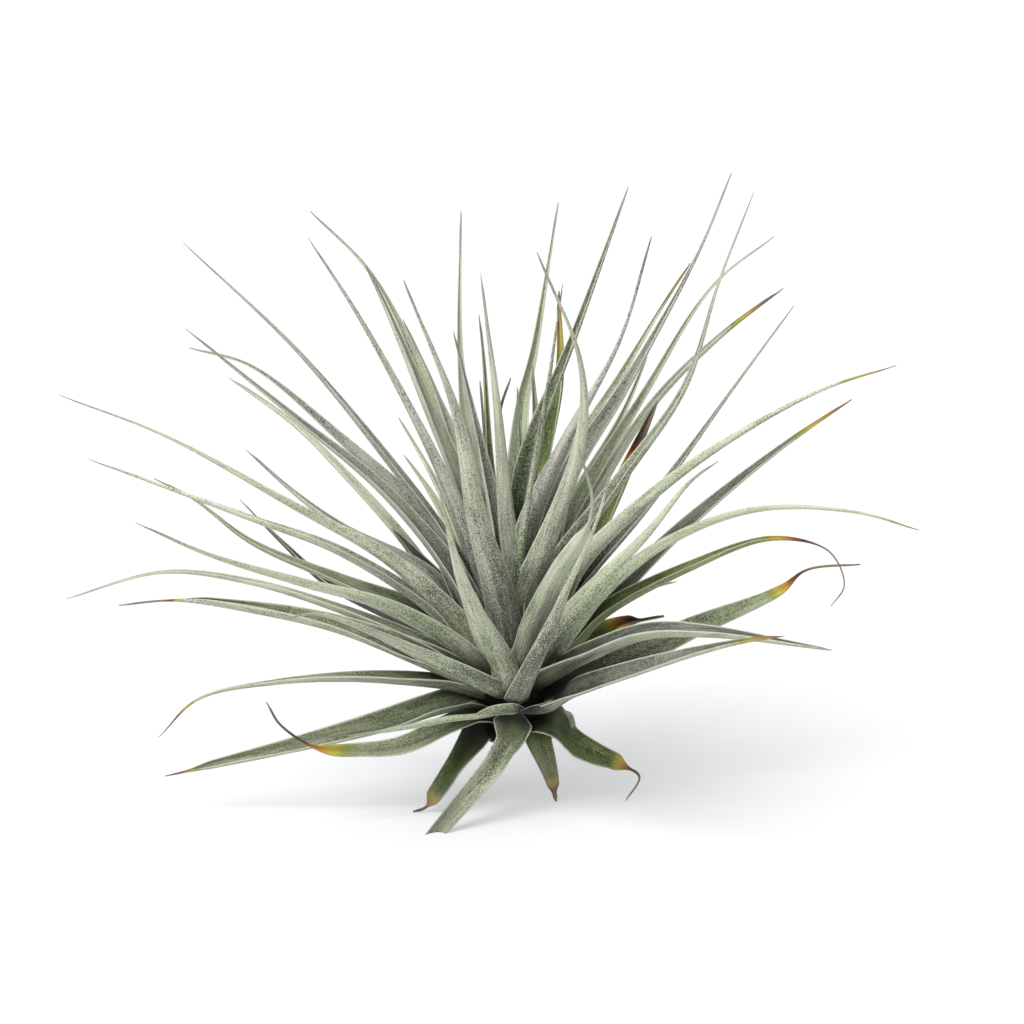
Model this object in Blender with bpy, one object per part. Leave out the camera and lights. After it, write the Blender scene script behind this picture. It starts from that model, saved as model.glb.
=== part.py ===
"""An air plant, Tillandsia stricta: a short stem with a round head, and a rosette of arching leaves.

The plant stands on the tips of its lowest leaves. Lengths are in millimetres until MM turns them
into metres. X runs to the right, Y away from the front, Z up.
"""

import math
from collections import namedtuple

import bmesh
import bpy
import numpy as np
from mathutils import Vector

MM = 0.001

# The stem: a cut stub below a round head, which every leaf grows from.
HEAD_HEIGHT = 27.0
HEAD_RADIUS = 9.5
STUB_RADIUS = 3.6
STUB_BOTTOM = 17.5
STEM_SIDES = 16
HEAD_RINGS = 6
SEAT_GAP = 0.4

# The heart: a bud on top of the head, with the youngest leaves round it.
BUD_RADIUS = 2.8
BUD_HEIGHT = 11.0
BUD_SIDES = 10
BUD_MIDDLE = 0.35
BUD_OUTLINE = [(0.7, 0.0), (1.0, 0.25), (0.8, 0.65), (0.0, 1.0)]
HEART_ROOT_DEPTH = 0.9
HEART_SEGMENTS = 10

# Leaf blades: gutters with a crease along the middle, narrow at the root and widest a fifth of
# the way out. The gutter's depth is a share of the width there.
ROOT_WIDTH = 3.2
SWELL_END = 0.2
TAPER_POWER = 1.0
TIP_WIDTH = 0.9
ROOT_THICKNESS = 0.8
TIP_THICKNESS = 0.62
ROOT_GUTTER = 0.05
GUTTER_DEPTH = 0.2
GUTTER_FADE = 0.5

# A foot's tip: how high its middle lies above the floor, and the slope from which it is cut level.
TIP_REST = 0.2
STEEP = 0.4

# How finely blades are split, and how much closer together their sections lie in a bend.
BLADE_SEGMENTS = 12
FINE_STEPS = 240
BEND_SHARE = 0.9
LEAST_TURN = 1.5

# Leaf routes are given as seen from the front, looking down a little, from this far away.
VIEW_TILT = math.radians(15.0)
VIEW_DISTANCE = 950.0
VIEW_MIDDLE = (-0.7, 67.7)

SILVER = (0.50, 0.56, 0.47)
GREEN = (0.27, 0.36, 0.19)
DARK = (0.17, 0.22, 0.13)
STEM_COLOUR = (0.20, 0.13, 0.08)

# A leaf seen from the front: its widest width, where it leaves the head (the direction round the
# stem, 90 degrees being straight back, and the rise), how far back its tip lies (less than 0 is
# towards the front), and its route from the rosette out to the tip, as points to the right of
# the stem and above the floor below it. Where no depth is given, the tip stands on the floor.
Leaf = namedtuple("Leaf", "name width root back route colour tip_width", defaults=(SILVER, TIP_WIDTH))

# A leaf behind the others: where it leaves the head, how steeply its tip rises, and its length.
RearLeaf = namedtuple("RearLeaf", "name width root rise length")

FEET = [
    Leaf("foot_leaf_front", 8.0, (-100, -52), None, [(-5, 10), (-11, 2.8), (-17.5, -4.8)], SILVER, 4.4),
    Leaf("foot_leaf_left", 5.5, (-178, -44), None,
         [(-11, 13), (-16.5, 5), (-20.5, 0.4), (-23.2, -0.4)], GREEN),
    Leaf("foot_leaf_middle", 4.6, (38, -58), None, [(7, 10), (8.6, 5), (9.3, 2.0)], DARK),
    Leaf("foot_leaf_right", 5.5, (-30, -27), None,
         [(13, 15), (18, 12.6), (23.5, 10.4), (28.2, 7.6), (25.2, 2.2)], GREEN),
    Leaf("foot_leaf_rear", 5.5, (100, -46), None, [(-3, 15.5), (-6, 7.2)], GREEN, 2.0),
    Leaf("foot_leaf_rear_left", 5.5, (142, -44), None, [(-8.5, 14.5), (-15.2, 5.8)], DARK, 2.0),
]

LOWER_LEAVES = [
    Leaf("lower_leaf_long", 6.5, (176, -12), 0.0,
         [(-17, 22.3), (-31, 18.2), (-49, 14), (-67, 10.2), (-79.5, 7.7)]),
    Leaf("lower_leaf_short", 5.0, (-145, -18), -22.0, [(-15, 20.4), (-28, 18), (-38.2, 16.8)]),
    Leaf("lower_leaf_hooked", 5.0, (-170, -27), -12.0,
         [(-15, 18.5), (-26, 14.1), (-35, 13.2), (-44, 13.6), (-53.4, 19.3), (-56.5, 24.5)], GREEN),
]

LEFT_LEAVES = [
    Leaf("left_leaf_01", 6.5, (176, 1), 8.0,
         [(-15, 27.7), (-35, 30), (-55, 29.2), (-72, 25.5), (-81, 16.5)]),
    Leaf("left_leaf_02", 6.5, (180, 11), 10.0,
         [(-20, 32.5), (-40, 40.5), (-60, 45), (-77, 47.7), (-90, 47)], DARK),
    Leaf("left_leaf_03", 6.0, (-126, 18), -50.0, [(-20, 33.5), (-35, 41), (-45, 44.3), (-53, 43.5)]),
    Leaf("left_leaf_04", 6.0, (167, 20), 25.0,
         [(-20, 36.5), (-40, 45), (-60, 51.3), (-80, 53.8), (-102, 48)]),
    Leaf("left_leaf_05", 7.0, (-134, 35), -50.0,
         [(-15, 37), (-30, 45.5), (-50, 51.3), (-70, 57.8), (-86.3, 65.3)]),
    Leaf("left_leaf_06", 6.0, (170, 32), 30.0,
         [(-20, 45), (-40, 58.5), (-60, 66), (-80, 73.5), (-97, 79.7)]),
    Leaf("left_leaf_07", 7.0, (143, 27), 42.0,
         [(-20, 43), (-40, 51.5), (-60, 60.5), (-73, 70.5), (-82, 75.3)], GREEN),
    Leaf("left_leaf_08", 5.0, (140, 16), 50.0,
         [(-20, 39), (-42.5, 50.7), (-53, 60.5), (-62.5, 70.5)], DARK),
    Leaf("left_leaf_09", 7.5, (-160, 41), -28.0,
         [(-15, 43), (-30, 57), (-50, 68.7), (-80, 85.3), (-103.7, 94.3)]),
    Leaf("left_leaf_10", 5.5, (180, 49), 5.0, [(-20, 52), (-40, 64.5), (-50, 72.5), (-61.3, 82)]),
]

UPPER_LEFT_LEAVES = [
    Leaf("upper_left_leaf_01", 6.5, (-166, 57), -17.0,
         [(-15, 53), (-30, 72), (-50, 89.5), (-74.8, 109.3)]),
    Leaf("upper_left_leaf_02", 6.5, (148, 56), 25.0,
         [(-20, 64.5), (-40, 85), (-60, 101.3), (-74, 105.5)]),
    Leaf("upper_left_leaf_03", 6.0, (140, 37), 50.0,
         [(-25, 60), (-40, 77), (-50, 87), (-65, 98.2)], GREEN),
    Leaf("upper_left_leaf_04", 6.5, (172, 64), 0.0, [(-14.5, 58), (-30, 80.5), (-50, 105), (-75.5, 129)]),
    Leaf("upper_left_leaf_05", 6.5, (-160, 72), -5.0, [(-12, 62), (-20, 82), (-35, 111), (-47, 130)]),
    Leaf("upper_left_leaf_06", 8.0, (-104, 66), -40.0,
         [(-4, 50), (-8.5, 65), (-13.5, 90), (-25.3, 120.3)]),
    Leaf("upper_left_leaf_07", 5.5, (148, 45), 18.0, [(-12, 43), (-19, 52.5), (-28, 64)], DARK),
]

UPPER_RIGHT_LEAVES = [
    Leaf("upper_right_leaf_01", 6.5, (38, 68), 28.0, [(13, 75), (25, 95), (42, 127), (49.2, 144.8)]),
    Leaf("upper_right_leaf_02", 5.5, (75, 61), 48.0,
         [(10, 74), (24, 98), (33, 113.5), (39.8, 124.2)], GREEN),
    Leaf("upper_right_leaf_03", 6.0, (96, 54), 72.0, [(12, 66), (24, 89), (30, 103)], GREEN),
    Leaf("upper_right_leaf_04", 6.5, (57, 46), 66.0, [(14, 66), (30, 95), (45, 119), (58.8, 130.3)]),
    Leaf("upper_right_leaf_05", 6.5, (-18, 67), -14.0,
         [(10, 53), (25, 75), (39, 96), (46.5, 120), (54.2, 140.3)]),
    Leaf("upper_right_leaf_06", 6.0, (39, 53), 35.0, [(13, 59), (30, 90), (45, 107), (61, 118.6)]),
    Leaf("upper_right_leaf_07", 5.5, (13, 60), 7.0, [(11.5, 50), (21, 66), (28, 82), (32.5, 93)], DARK),
    Leaf("upper_right_leaf_08", 6.0, (4, 49), -4.0,
         [(15, 50), (30, 69.5), (50, 98), (63.3, 114.5)], DARK),
    Leaf("upper_right_leaf_09", 7.0, (-30, 56), -30.0,
         [(15, 54), (30, 71), (50, 85.3), (70, 95.7), (86.6, 101)]),
    Leaf("upper_right_leaf_10", 6.5, (31, 37), 38.0,
         [(22, 48), (40, 66), (60, 82.5), (76.5, 93.3)], DARK),
    Leaf("upper_right_leaf_11", 7.5, (-42, 46), -36.0,
         [(8, 36), (20, 51), (30, 63), (39.5, 75), (46.2, 79.3)]),
]

RIGHT_LEAVES = [
    Leaf("right_leaf_01", 7.0, (-8, 39), -20.0,
         [(20, 48), (35, 60.5), (55, 68.2), (77, 67.7), (91.8, 63.6)]),
    Leaf("right_leaf_02", 6.5, (0, 28), 6.0,
         [(20, 44.5), (40, 55.7), (58, 62.1), (71, 59.5), (74.8, 51), (71.8, 46.3)]),
    Leaf("right_leaf_03", 6.0, (18, 8), 30.0,
         [(20, 32.5), (40, 42), (60, 50.2), (66, 54.6), (78.4, 55.9)]),
    Leaf("right_leaf_04", 6.0, (34, 20), 20.0, [(15, 37), (23, 41.5), (33.8, 44)], GREEN, 1.6),
    Leaf("right_leaf_05", 6.5, (-34, 27), -50.0, [(15, 33.5), (30, 39.5), (45, 39.7), (72, 36.5)], GREEN),
    Leaf("right_leaf_06", 6.5, (-36, -9), -58.0, [(14, 26.3), (30, 31.8), (50, 37.6), (61, 39.5)]),
]

FRONT_LEAVES = [
    Leaf("front_leaf_left", 7.5, (-108, 28), -55.0, [(-4, 33), (-9, 44), (-13, 55), (-17, 71.5)]),
    Leaf("front_leaf_right", 6.0, (-80, 52), -40.0,
         [(4, 42), (10, 54), (16, 63), (17.5, 70), (14.5, 82)]),
    Leaf("front_leaf_middle", 6.5, (-88, 13), -62.0, [(8, 41), (12, 50.5), (18, 64), (22.5, 79)]),
]

REAR_LEAVES = [
    RearLeaf("rear_leaf_01", 6.5, (62, 6), 4, 84),
    RearLeaf("rear_leaf_02", 6.5, (92, 12), 8, 92),
    RearLeaf("rear_leaf_03", 6.5, (117, 4), 3, 86),
    RearLeaf("rear_leaf_04", 6.5, (74, 24), 24, 90),
    RearLeaf("rear_leaf_05", 6.5, (108, 22), 22, 94),
    RearLeaf("rear_leaf_06", 6.0, (92, 32), 30, 78),
    RearLeaf("rear_leaf_07", 6.0, (118, 46), 42, 78),
    RearLeaf("rear_leaf_08", 5.5, (72, -14), -12, 66),
    RearLeaf("rear_leaf_09", 5.5, (110, -16), -14, 70),
]
REAR_ARCH_DEG = 14.0
REAR_SHARES = (0.28, 0.52, 0.78, 1.0)

# Leaves of the heart, which grow from the bud.
HEART_LEAVES = [
    Leaf("heart_leaf_01", 5.0, None, 25.0, [(-10, 70), (-19, 97), (-25.5, 111.5)]),
    Leaf("heart_leaf_02", 4.0, None, 5.0, [(-6, 70), (-11, 95), (-14, 108.7)]),
    Leaf("heart_leaf_03", 4.0, None, -5.0, [(-3, 65), (-4.5, 90), (-7.8, 122)]),
    Leaf("heart_leaf_04", 3.0, None, 12.0, [(-5.5, 72), (-7.2, 102), (-8.2, 112.5)]),
    Leaf("heart_leaf_05", 3.5, None, 20.0, [(-6, 75), (-8, 97.5)]),
    Leaf("heart_leaf_06", 3.5, None, 40.0, [(-3, 76), (-3.5, 90), (-1, 98.2)]),
    Leaf("heart_leaf_07", 5.0, None, -24.0, [(7, 57), (15.5, 84), (15, 101.5), (5, 126.7)]),
    Leaf("heart_leaf_08", 6.0, None, 10.0, [(3, 78), (14, 108), (25.7, 141.5)], GREEN),
    Leaf("heart_leaf_09", 3.5, None, 0.0, [(4, 70), (7, 90), (10.8, 119.5)]),
    Leaf("heart_leaf_10", 4.0, None, 22.0, [(3, 66), (5, 84), (4, 101)]),
    Leaf("heart_leaf_11", 4.0, None, -10.0, [(0, 55), (1, 70), (-1, 88)]),
    Leaf("heart_leaf_12", 3.5, None, 8.0, [(1, 60), (1.5, 80), (0.5, 96)]),
    Leaf("heart_leaf_13", 5.5, None, 60.0, [(-10.5, 86), (-12.5, 105), (-12.3, 136)]),
    Leaf("heart_leaf_14", 6.0, None, 60.0, [(1.5, 90), (4.5, 105), (9.8, 138)]),
    Leaf("heart_leaf_15", 4.0, None, 42.0, [(6, 76), (10.5, 97), (10, 118)], GREEN),
    Leaf("heart_leaf_16", 6.0, None, 12.0, [(-11, 68), (-20, 90), (-30, 115), (-34.5, 124.7)]),
    Leaf("heart_leaf_17", 6.5, None, 45.0, [(-10, 72), (-20, 96), (-33, 122), (-46.5, 136)]),
    Leaf("heart_leaf_18", 6.5, None, -10.0, [(3.5, 65), (12, 84), (24, 107), (31, 130.3)]),
]


def seen_point(right, above, back):
    """The point that lies this far back and is seen at this place from the front."""
    up, along = math.cos(VIEW_TILT), math.sin(VIEW_TILT)
    rise = above - VIEW_MIDDLE[1]
    z = rise * (VIEW_DISTANCE + back * up) + VIEW_DISTANCE * (VIEW_MIDDLE[1] - back * along)
    z /= VIEW_DISTANCE * up + rise * along
    depth = back * up - z * along
    x = VIEW_MIDDLE[0] + (right - VIEW_MIDDLE[0]) * (VIEW_DISTANCE + depth) / VIEW_DISTANCE
    return np.array([x, back, z])


def head_centre():
    return np.array([0.0, 0.0, HEAD_HEIGHT])


def bud_centre():
    return np.array([0.0, 0.0, HEAD_HEIGHT + HEAD_RADIUS + SEAT_GAP + BUD_HEIGHT * BUD_MIDDLE])


def rooted(points, centre, start, root=None):
    """The points with a root before them, on a ball of radius start round the centre."""
    away = points[0] - centre
    first = centre + start * (away / np.linalg.norm(away) if root is None else direction(*root))
    return [first, (first + points[0]) / 2] + points


def depth_on_floor(above):
    """How far back the point seen at this height lies, if a thin tip rests there on the floor."""
    up, along = math.cos(VIEW_TILT), math.sin(VIEW_TILT)
    rise = above - VIEW_MIDDLE[1]
    return (VIEW_DISTANCE * above - TIP_REST * (VIEW_DISTANCE * up + rise * along)) / (
        VIEW_DISTANCE * along - rise * up
    )


def seen_points(leaf):
    """A leaf's control points in space, lying further back evenly along the route."""
    seen = np.array([(0.0, HEAD_HEIGHT * math.cos(VIEW_TILT))] + leaf.route)
    run = np.cumsum(np.linalg.norm(np.diff(seen, axis=0), axis=1))
    back = depth_on_floor(leaf.route[-1][1]) if leaf.back is None else leaf.back
    return [seen_point(*place, back * share) for place, share in zip(leaf.route, run / run[-1])]


def front_route(leaf):
    return rooted(seen_points(leaf), head_centre(), HEAD_RADIUS + SEAT_GAP, leaf.root)


def heart_route(leaf):
    return rooted(seen_points(leaf), bud_centre(), BUD_RADIUS - HEART_ROOT_DEPTH)


def direction(around, rise):
    around, rise = math.radians(around), math.radians(rise)
    flat = math.cos(rise)
    return np.array([flat * math.cos(around), flat * math.sin(around), math.sin(rise)])


def rear_route(leaf):
    """An arch that leaves the head steeply and levels out towards its tip."""
    points = []
    for share in REAR_SHARES:
        rise = leaf.rise + REAR_ARCH_DEG * (1 - share)
        points.append(head_centre() + leaf.length * share * direction(leaf.root[0], rise))
    return rooted(points, head_centre(), HEAD_RADIUS + SEAT_GAP, leaf.root)


def smooth_curve(points):
    """Many points on a smooth curve through the given ones."""
    points = np.array(points)
    knots = np.concatenate([[0.0], np.cumsum(np.linalg.norm(np.diff(points, axis=0), axis=1) ** 0.5)])
    slopes = np.gradient(points, knots, axis=0)
    at = np.linspace(0, knots[-1], FINE_STEPS)
    span = np.clip(np.searchsorted(knots, at, side="right") - 1, 0, len(knots) - 2)
    width = (knots[span + 1] - knots[span])[:, None]
    t = (at - knots[span])[:, None] / width
    return (
        (2 * t**3 - 3 * t**2 + 1) * points[span]
        + (t**3 - 2 * t**2 + t) * width * slopes[span]
        + (3 * t**2 - 2 * t**3) * points[span + 1]
        + (t**3 - t**2) * width * slopes[span + 1]
    )


def turned(vector, old, new):
    """The vector after the smallest turn that takes the old direction to the new one."""
    axis = np.cross(old, new)
    return vector + np.cross(axis, vector) + np.cross(axis, np.cross(axis, vector)) / (1 + old @ new)


def blade_frames(curve):
    """Along the curve: the share of its length, the direction across the blade and the one out of it."""
    steps = np.diff(curve, axis=0)
    lengths = np.linalg.norm(steps, axis=1)
    heading = np.gradient(curve, axis=0)
    heading /= np.linalg.norm(heading, axis=1)[:, None]
    away = curve[0] - head_centre()
    around = math.atan2(away[1], away[0])
    side = np.array([-math.sin(around), math.cos(around), 0.0])
    sides = [side]
    for old, new in zip(heading, heading[1:]):
        side = turned(side, old, new)
        side -= new * (side @ new)
        side /= np.linalg.norm(side)
        sides.append(side)
    sides = np.array(sides)
    share = np.concatenate([[0.0], np.cumsum(lengths)]) / lengths.sum()
    return share, heading, sides, np.cross(heading, sides)


def station_places(curve, heading, share, segments):
    """Places along the curve for the blade's sections, closer together where it bends."""
    turns = np.linalg.norm(np.diff(heading, axis=0), axis=1)
    spent = share + BEND_SHARE * np.concatenate([[0.0], np.cumsum(turns)]) / max(turns.sum(), LEAST_TURN)
    return np.searchsorted(spent, np.linspace(0, spent[-1], segments + 1)).clip(0, len(curve) - 1)


def blade_width(share, widest, tip):
    if share < SWELL_END:
        part = share / SWELL_END
        return ROOT_WIDTH + (widest - ROOT_WIDTH) * part * part * (3 - 2 * part)
    left = max(1 - share, 0.0) / (1 - SWELL_END)
    return tip + (widest - tip) * left**TAPER_POWER


def blade_section(centre, side, out, width, share):
    """Three points across the upper face, then the three under them."""
    thick = ROOT_THICKNESS + (TIP_THICKNESS - ROOT_THICKNESS) * share
    opening = min(share / SWELL_END, 1.0)
    lift = (ROOT_GUTTER + (GUTTER_DEPTH - ROOT_GUTTER) * opening) * (1 - GUTTER_FADE * share) * width
    places = []
    for face in (0.5, -0.5):
        for across, raised in ((-0.5, 1.0), (0.0, 0.0), (0.5, 1.0)):
            places.append(centre + side * across * width + out * (raised * lift + face * thick))
    return places


def ends_on_floor(section, heading):
    """The blade's last section, cut off level with the floor where the blade comes down steeply."""
    if heading[2] > -STEEP:
        return section
    return [place - heading * place[2] / heading[2] for place in section]


def blade_mesh(name, points, widest, tip, segments=BLADE_SEGMENTS, stands=False):
    """A closed blade with the same split into triangles on both faces."""
    curve = smooth_curve(points)
    share, heading, sides, outs = blade_frames(curve)
    stations = station_places(curve, heading, share, segments)
    mesh = bmesh.new()
    rows = []
    for at in stations:
        width = blade_width(share[at], widest, tip)
        section = blade_section(curve[at], sides[at], outs[at], width, share[at])
        if stands and at == stations[-1]:
            section = ends_on_floor(section, heading[at])
        rows.append([mesh.verts.new((p[0] * MM, p[1] * MM, max(p[2], 0.0) * MM)) for p in section])
    for near, far in zip(rows, rows[1:]):
        add_span(mesh, near, far)
    add_end(mesh, rows[0])
    add_end(mesh, rows[-1])
    bmesh.ops.recalc_face_normals(mesh, faces=mesh.faces)
    data = bpy.data.meshes.new(name)
    mesh.to_mesh(data)
    mesh.free()
    return data


def add_span(mesh, near, far):
    """The triangles between two sections: two upper strips, two lower ones and the two edges."""
    for left, right in ((0, 1), (1, 2), (3, 4), (4, 5), (0, 3), (2, 5)):
        mesh.faces.new((near[left], near[right], far[right]))
        mesh.faces.new((near[left], far[right], far[left]))


def add_end(mesh, row):
    """The triangles that close the blade at one of its ends."""
    for a, b, c in ((0, 1, 3), (1, 4, 3), (1, 2, 4), (2, 5, 4)):
        mesh.faces.new((row[a], row[b], row[c]))


def finish(name, colour, roughness=0.75):
    material = bpy.data.materials.new(name)
    material.use_nodes = True
    shader = material.node_tree.nodes["Principled BSDF"]
    shader.inputs["Base Color"].default_value = (*colour, 1.0)
    shader.inputs["Roughness"].default_value = roughness
    shader.inputs["Metallic"].default_value = 0.0
    return material


def add_object(name, data, colour, parent, collection=None):
    obj = bpy.data.objects.new(name, data)
    data.materials.append(finish(name, colour))
    (collection or bpy.context.scene.collection).objects.link(obj)
    obj.parent = parent
    return obj


def turned_mesh(name, profile, sides):
    """A closed solid turned about the upright axis. The profile runs upwards from end to end."""
    mesh = bmesh.new()
    rings = []
    for radius, height in profile:
        if radius == 0:
            rings.append([mesh.verts.new((0, 0, height * MM))])
            continue
        corners = [2 * math.pi * i / sides for i in range(sides)]
        places = [(radius * math.cos(a), radius * math.sin(a), height) for a in corners]
        rings.append([mesh.verts.new([MM * value for value in place]) for place in places])
    mesh.faces.new(reversed(rings[0]))
    for low, high in zip(rings, rings[1:]):
        for i in range(sides):
            j = (i + 1) % sides
            if len(high) == 1:
                mesh.faces.new((low[i], low[j], high[0]))
            else:
                mesh.faces.new((low[i], low[j], high[j], high[i]))
    bmesh.ops.recalc_face_normals(mesh, faces=mesh.faces)
    data = bpy.data.meshes.new(name)
    mesh.to_mesh(data)
    mesh.free()
    return data


def stem_profile():
    """The stub's flat cut end, its neck, and the round head."""
    profile = [(STUB_RADIUS, STUB_BOTTOM)]
    lowest = -math.acos(STUB_RADIUS / HEAD_RADIUS)
    for step in range(HEAD_RINGS + 1):
        angle = lowest + (math.pi / 2 - lowest) * step / HEAD_RINGS
        radius = HEAD_RADIUS * math.cos(angle) if step < HEAD_RINGS else 0
        profile.append((radius, HEAD_HEIGHT + HEAD_RADIUS * math.sin(angle)))
    return profile


def add_stem(parent):
    return add_object("stem", turned_mesh("stem", stem_profile(), STEM_SIDES), STEM_COLOUR, parent)


def bud_profile():
    low = HEAD_HEIGHT + HEAD_RADIUS + SEAT_GAP
    return [(BUD_RADIUS * radius, low + BUD_HEIGHT * height) for radius, height in BUD_OUTLINE]


def add_heart(parent):
    """The bud and the young leaves round it, grown together in one body."""
    heart = add_object("heart", turned_mesh("heart", bud_profile(), BUD_SIDES), SILVER, parent)
    young = bpy.data.collections.new("young leaves")
    for leaf in HEART_LEAVES:
        data = blade_mesh(leaf.name, heart_route(leaf), leaf.width, leaf.tip_width, HEART_SEGMENTS)
        add_object(leaf.name, data, leaf.colour, None, young)
    union = heart.modifiers.new("grown together", "BOOLEAN")
    union.operation = "UNION"
    union.operand_type = "COLLECTION"
    union.collection = young
    union.solver = "EXACT"
    bpy.context.view_layer.update()
    whole = bpy.data.meshes.new_from_object(heart.evaluated_get(bpy.context.evaluated_depsgraph_get()))
    heart.modifiers.remove(union)
    heart.data = whole
    for piece in list(young.objects):
        bpy.data.objects.remove(piece)
    bpy.data.collections.remove(young)
    return heart


def add_leaves(parent):
    seen = FEET + LOWER_LEAVES + LEFT_LEAVES + UPPER_LEFT_LEAVES + UPPER_RIGHT_LEAVES
    seen += RIGHT_LEAVES + FRONT_LEAVES
    for leaf in seen:
        stands = leaf.back is None
        data = blade_mesh(leaf.name, front_route(leaf), leaf.width, leaf.tip_width, stands=stands)
        add_object(leaf.name, data, leaf.colour, parent)
    for leaf in REAR_LEAVES:
        add_object(leaf.name, blade_mesh(leaf.name, rear_route(leaf), leaf.width, TIP_WIDTH), GREEN, parent)


def centre_over_origin(parent):
    """Moves the plant so that the middle of its outline on the floor is the origin."""
    corners = [vert.co for obj in parent.children for vert in obj.data.vertices]
    middle = [(min(c[i] for c in corners) + max(c[i] for c in corners)) / 2 for i in (0, 1)]
    parent.location = Vector((-middle[0], -middle[1], 0.0))


def main():
    for obj in list(bpy.data.objects):
        bpy.data.objects.remove(obj)
    plant = bpy.data.objects.new("plant", None)
    bpy.context.scene.collection.objects.link(plant)
    add_stem(plant)
    add_heart(plant)
    add_leaves(plant)
    centre_over_origin(plant)
    bpy.context.view_layer.update()


main()
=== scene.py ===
import math
import random
from collections import namedtuple
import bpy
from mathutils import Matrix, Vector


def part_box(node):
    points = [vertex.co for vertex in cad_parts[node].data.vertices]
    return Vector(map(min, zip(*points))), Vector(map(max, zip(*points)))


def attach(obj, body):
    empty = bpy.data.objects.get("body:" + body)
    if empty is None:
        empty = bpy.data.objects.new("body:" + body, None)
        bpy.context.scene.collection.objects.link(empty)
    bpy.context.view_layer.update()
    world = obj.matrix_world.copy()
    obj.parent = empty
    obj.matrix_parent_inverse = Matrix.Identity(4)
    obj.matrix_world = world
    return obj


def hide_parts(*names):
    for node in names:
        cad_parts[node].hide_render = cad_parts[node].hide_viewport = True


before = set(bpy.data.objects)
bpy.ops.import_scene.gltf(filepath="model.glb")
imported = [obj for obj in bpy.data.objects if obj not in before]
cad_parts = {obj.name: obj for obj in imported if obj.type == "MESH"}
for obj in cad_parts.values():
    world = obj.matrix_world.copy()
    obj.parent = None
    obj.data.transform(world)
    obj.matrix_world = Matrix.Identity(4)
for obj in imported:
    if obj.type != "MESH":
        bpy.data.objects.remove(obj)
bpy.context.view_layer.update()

from types import SimpleNamespace

import bpy
import numpy as np
from mathutils import Vector

MM = 0.001


STEM_LOW, STEM_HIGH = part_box("stem")
PLANT = np.array([(STEM_LOW[0] + STEM_HIGH[0]) / 2, (STEM_LOW[1] + STEM_HIGH[1]) / 2, 0.0]) / MM

# The head and the bud, as in the CAD part, in millimetres from the stem's axis on the floor.
HEAD_HEIGHT = 27.0
HEAD_RADIUS = 9.5
SEAT_GAP = 0.4
BUD_RADIUS = 2.8
BUD_HEIGHT = 11.0
BUD_MIDDLE = 0.35
HEART_ROOT_DEPTH = 0.9
STUB_BOTTOM = 17.5
STUB_RADIUS = 3.6

# How high the middle of a foot's tip lies above the floor, and how far above the head's middle, as
# a share of its radius, the heart's leaves start.
TIP_REST = 0.2
HEART_START = 0.6

# The stem's core, seen between leaf bases: its stub as a share of STUB_RADIUS, its points, and its
# waves, each so many times round, so deep, and twisted so much along the stem.
STUB_SHARE = 0.86
CORE_SIDES = 48
CORE_ROWS = 26
CORE_WAVES = ((5, 0.05, 0), (11, 0.04, 1), (23, 0.03, 2))
BARK_FIBRES = (900.0, 900.0)
# The bark's colours: the stem's own dark fibres, made near-black as painted shade of the hollows between
# the leaf bases.
BARK_AND_SHADE_COLOURS = [(0.3, (0.006, 0.006, 0.004)), (0.6, (0.016, 0.014, 0.009)), (0.8, (0.05, 0.04, 0.025))]

# The view that leaf routes are given in, which is also the camera's.
VIEW_TILT = math.radians(15.0)
VIEW_DISTANCE = 950.0
VIEW_MIDDLE = (-0.7, 67.7)
VIEW_WIDTH = 232.7
SENSOR = 36.0

# Lights: their names, where they point, their strengths and their spreads in degrees.
SUNS = [
    ("key", (0.5, 0.55, -1.0), 3.2, 38),
    ("top", (-0.15, -0.35, -1.0), 0.85, 80),
]
SKY_COLOUR = (0.97, 0.98, 1.0, 1.0)
SKY_STRENGTH = 0.38

# The white floor glows a little, so that its shadows stay pale. Its reach is in metres.
FLOOR_COLOUR = (0.46, 0.46, 0.465, 1.0)
FLOOR_GLOW = 0.43
FLOOR_REACH = 12.0

# Finer leaves than the CAD's: how they are split, with stations a little closer at mid-length.
FINE_STEPS = 480
STATIONS = 80
ACROSS = 11
MIDDLE_CROWDING = 0.12

# Where sheaths start, on the core: how far below their roots, more for a leaf that rises and
# less for one that hangs.
CORE_RADIUS = 2.6
CORE_REACH = 6.6
CORE_DROP = 2.0
RISING_DROP = 5.0
HANGING_DROP = 3.0

# Their widths and thicknesses in millimetres. The sheath takes up MOST_SHEATH of the length at
# most. A blade narrows to END_SHARE over its last END_SPAN, and to a thread over THREAD_SPAN.
SHEATH_WIDTH = 9.5
SHEATH_LENGTH = 12.0
MOST_SHEATH = 0.3
END_SHARE = 0.4
END_SPAN = 0.05
THREAD_SPAN = 0.1
BLADE_GROWTH = 1.65
TAPER_POWER = 1.1
THIN_TIP = 0.42
MIDDLE_THICKNESS = 0.8
EDGE_THICKNESS = 0.22
TIP_THICKNESS = 0.3
THINNING = (0.1, 0.95)
MOST_THICK = 0.8
EDGE_POWER = 2.5
EDGE_SHARE = 0.45

# The crease along the upper face, full at this width of blade, with a low keel under it.
CREASE = 0.2
CREASE_FULL = 6
CREASE_WIDTH = 0.16
KEEL = 0.35

# Turns about the blade's heading: where clasp and roll start and end, in millimetres from the
# core, and a slow wander and sway. WAVES_START: the shares between which waves set in.
TURN_START = 2.0
CLASP_END = 18.0
ROLL_END = 26.0
WANDER_DEG = 12
SWAY_DEG = 4
SWAY_RUN = 13
WAVES_START = (0.1, 0.3)

# Waves in the width and the fold, as shares and in millimetres, and how lopsided a fold may be.
SWELL = 0.03
SWELL_RUN = 7
FOLD_WAVE = 0.1
FOLD_RUN = 17
MOST_LEAN = 0.12

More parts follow.
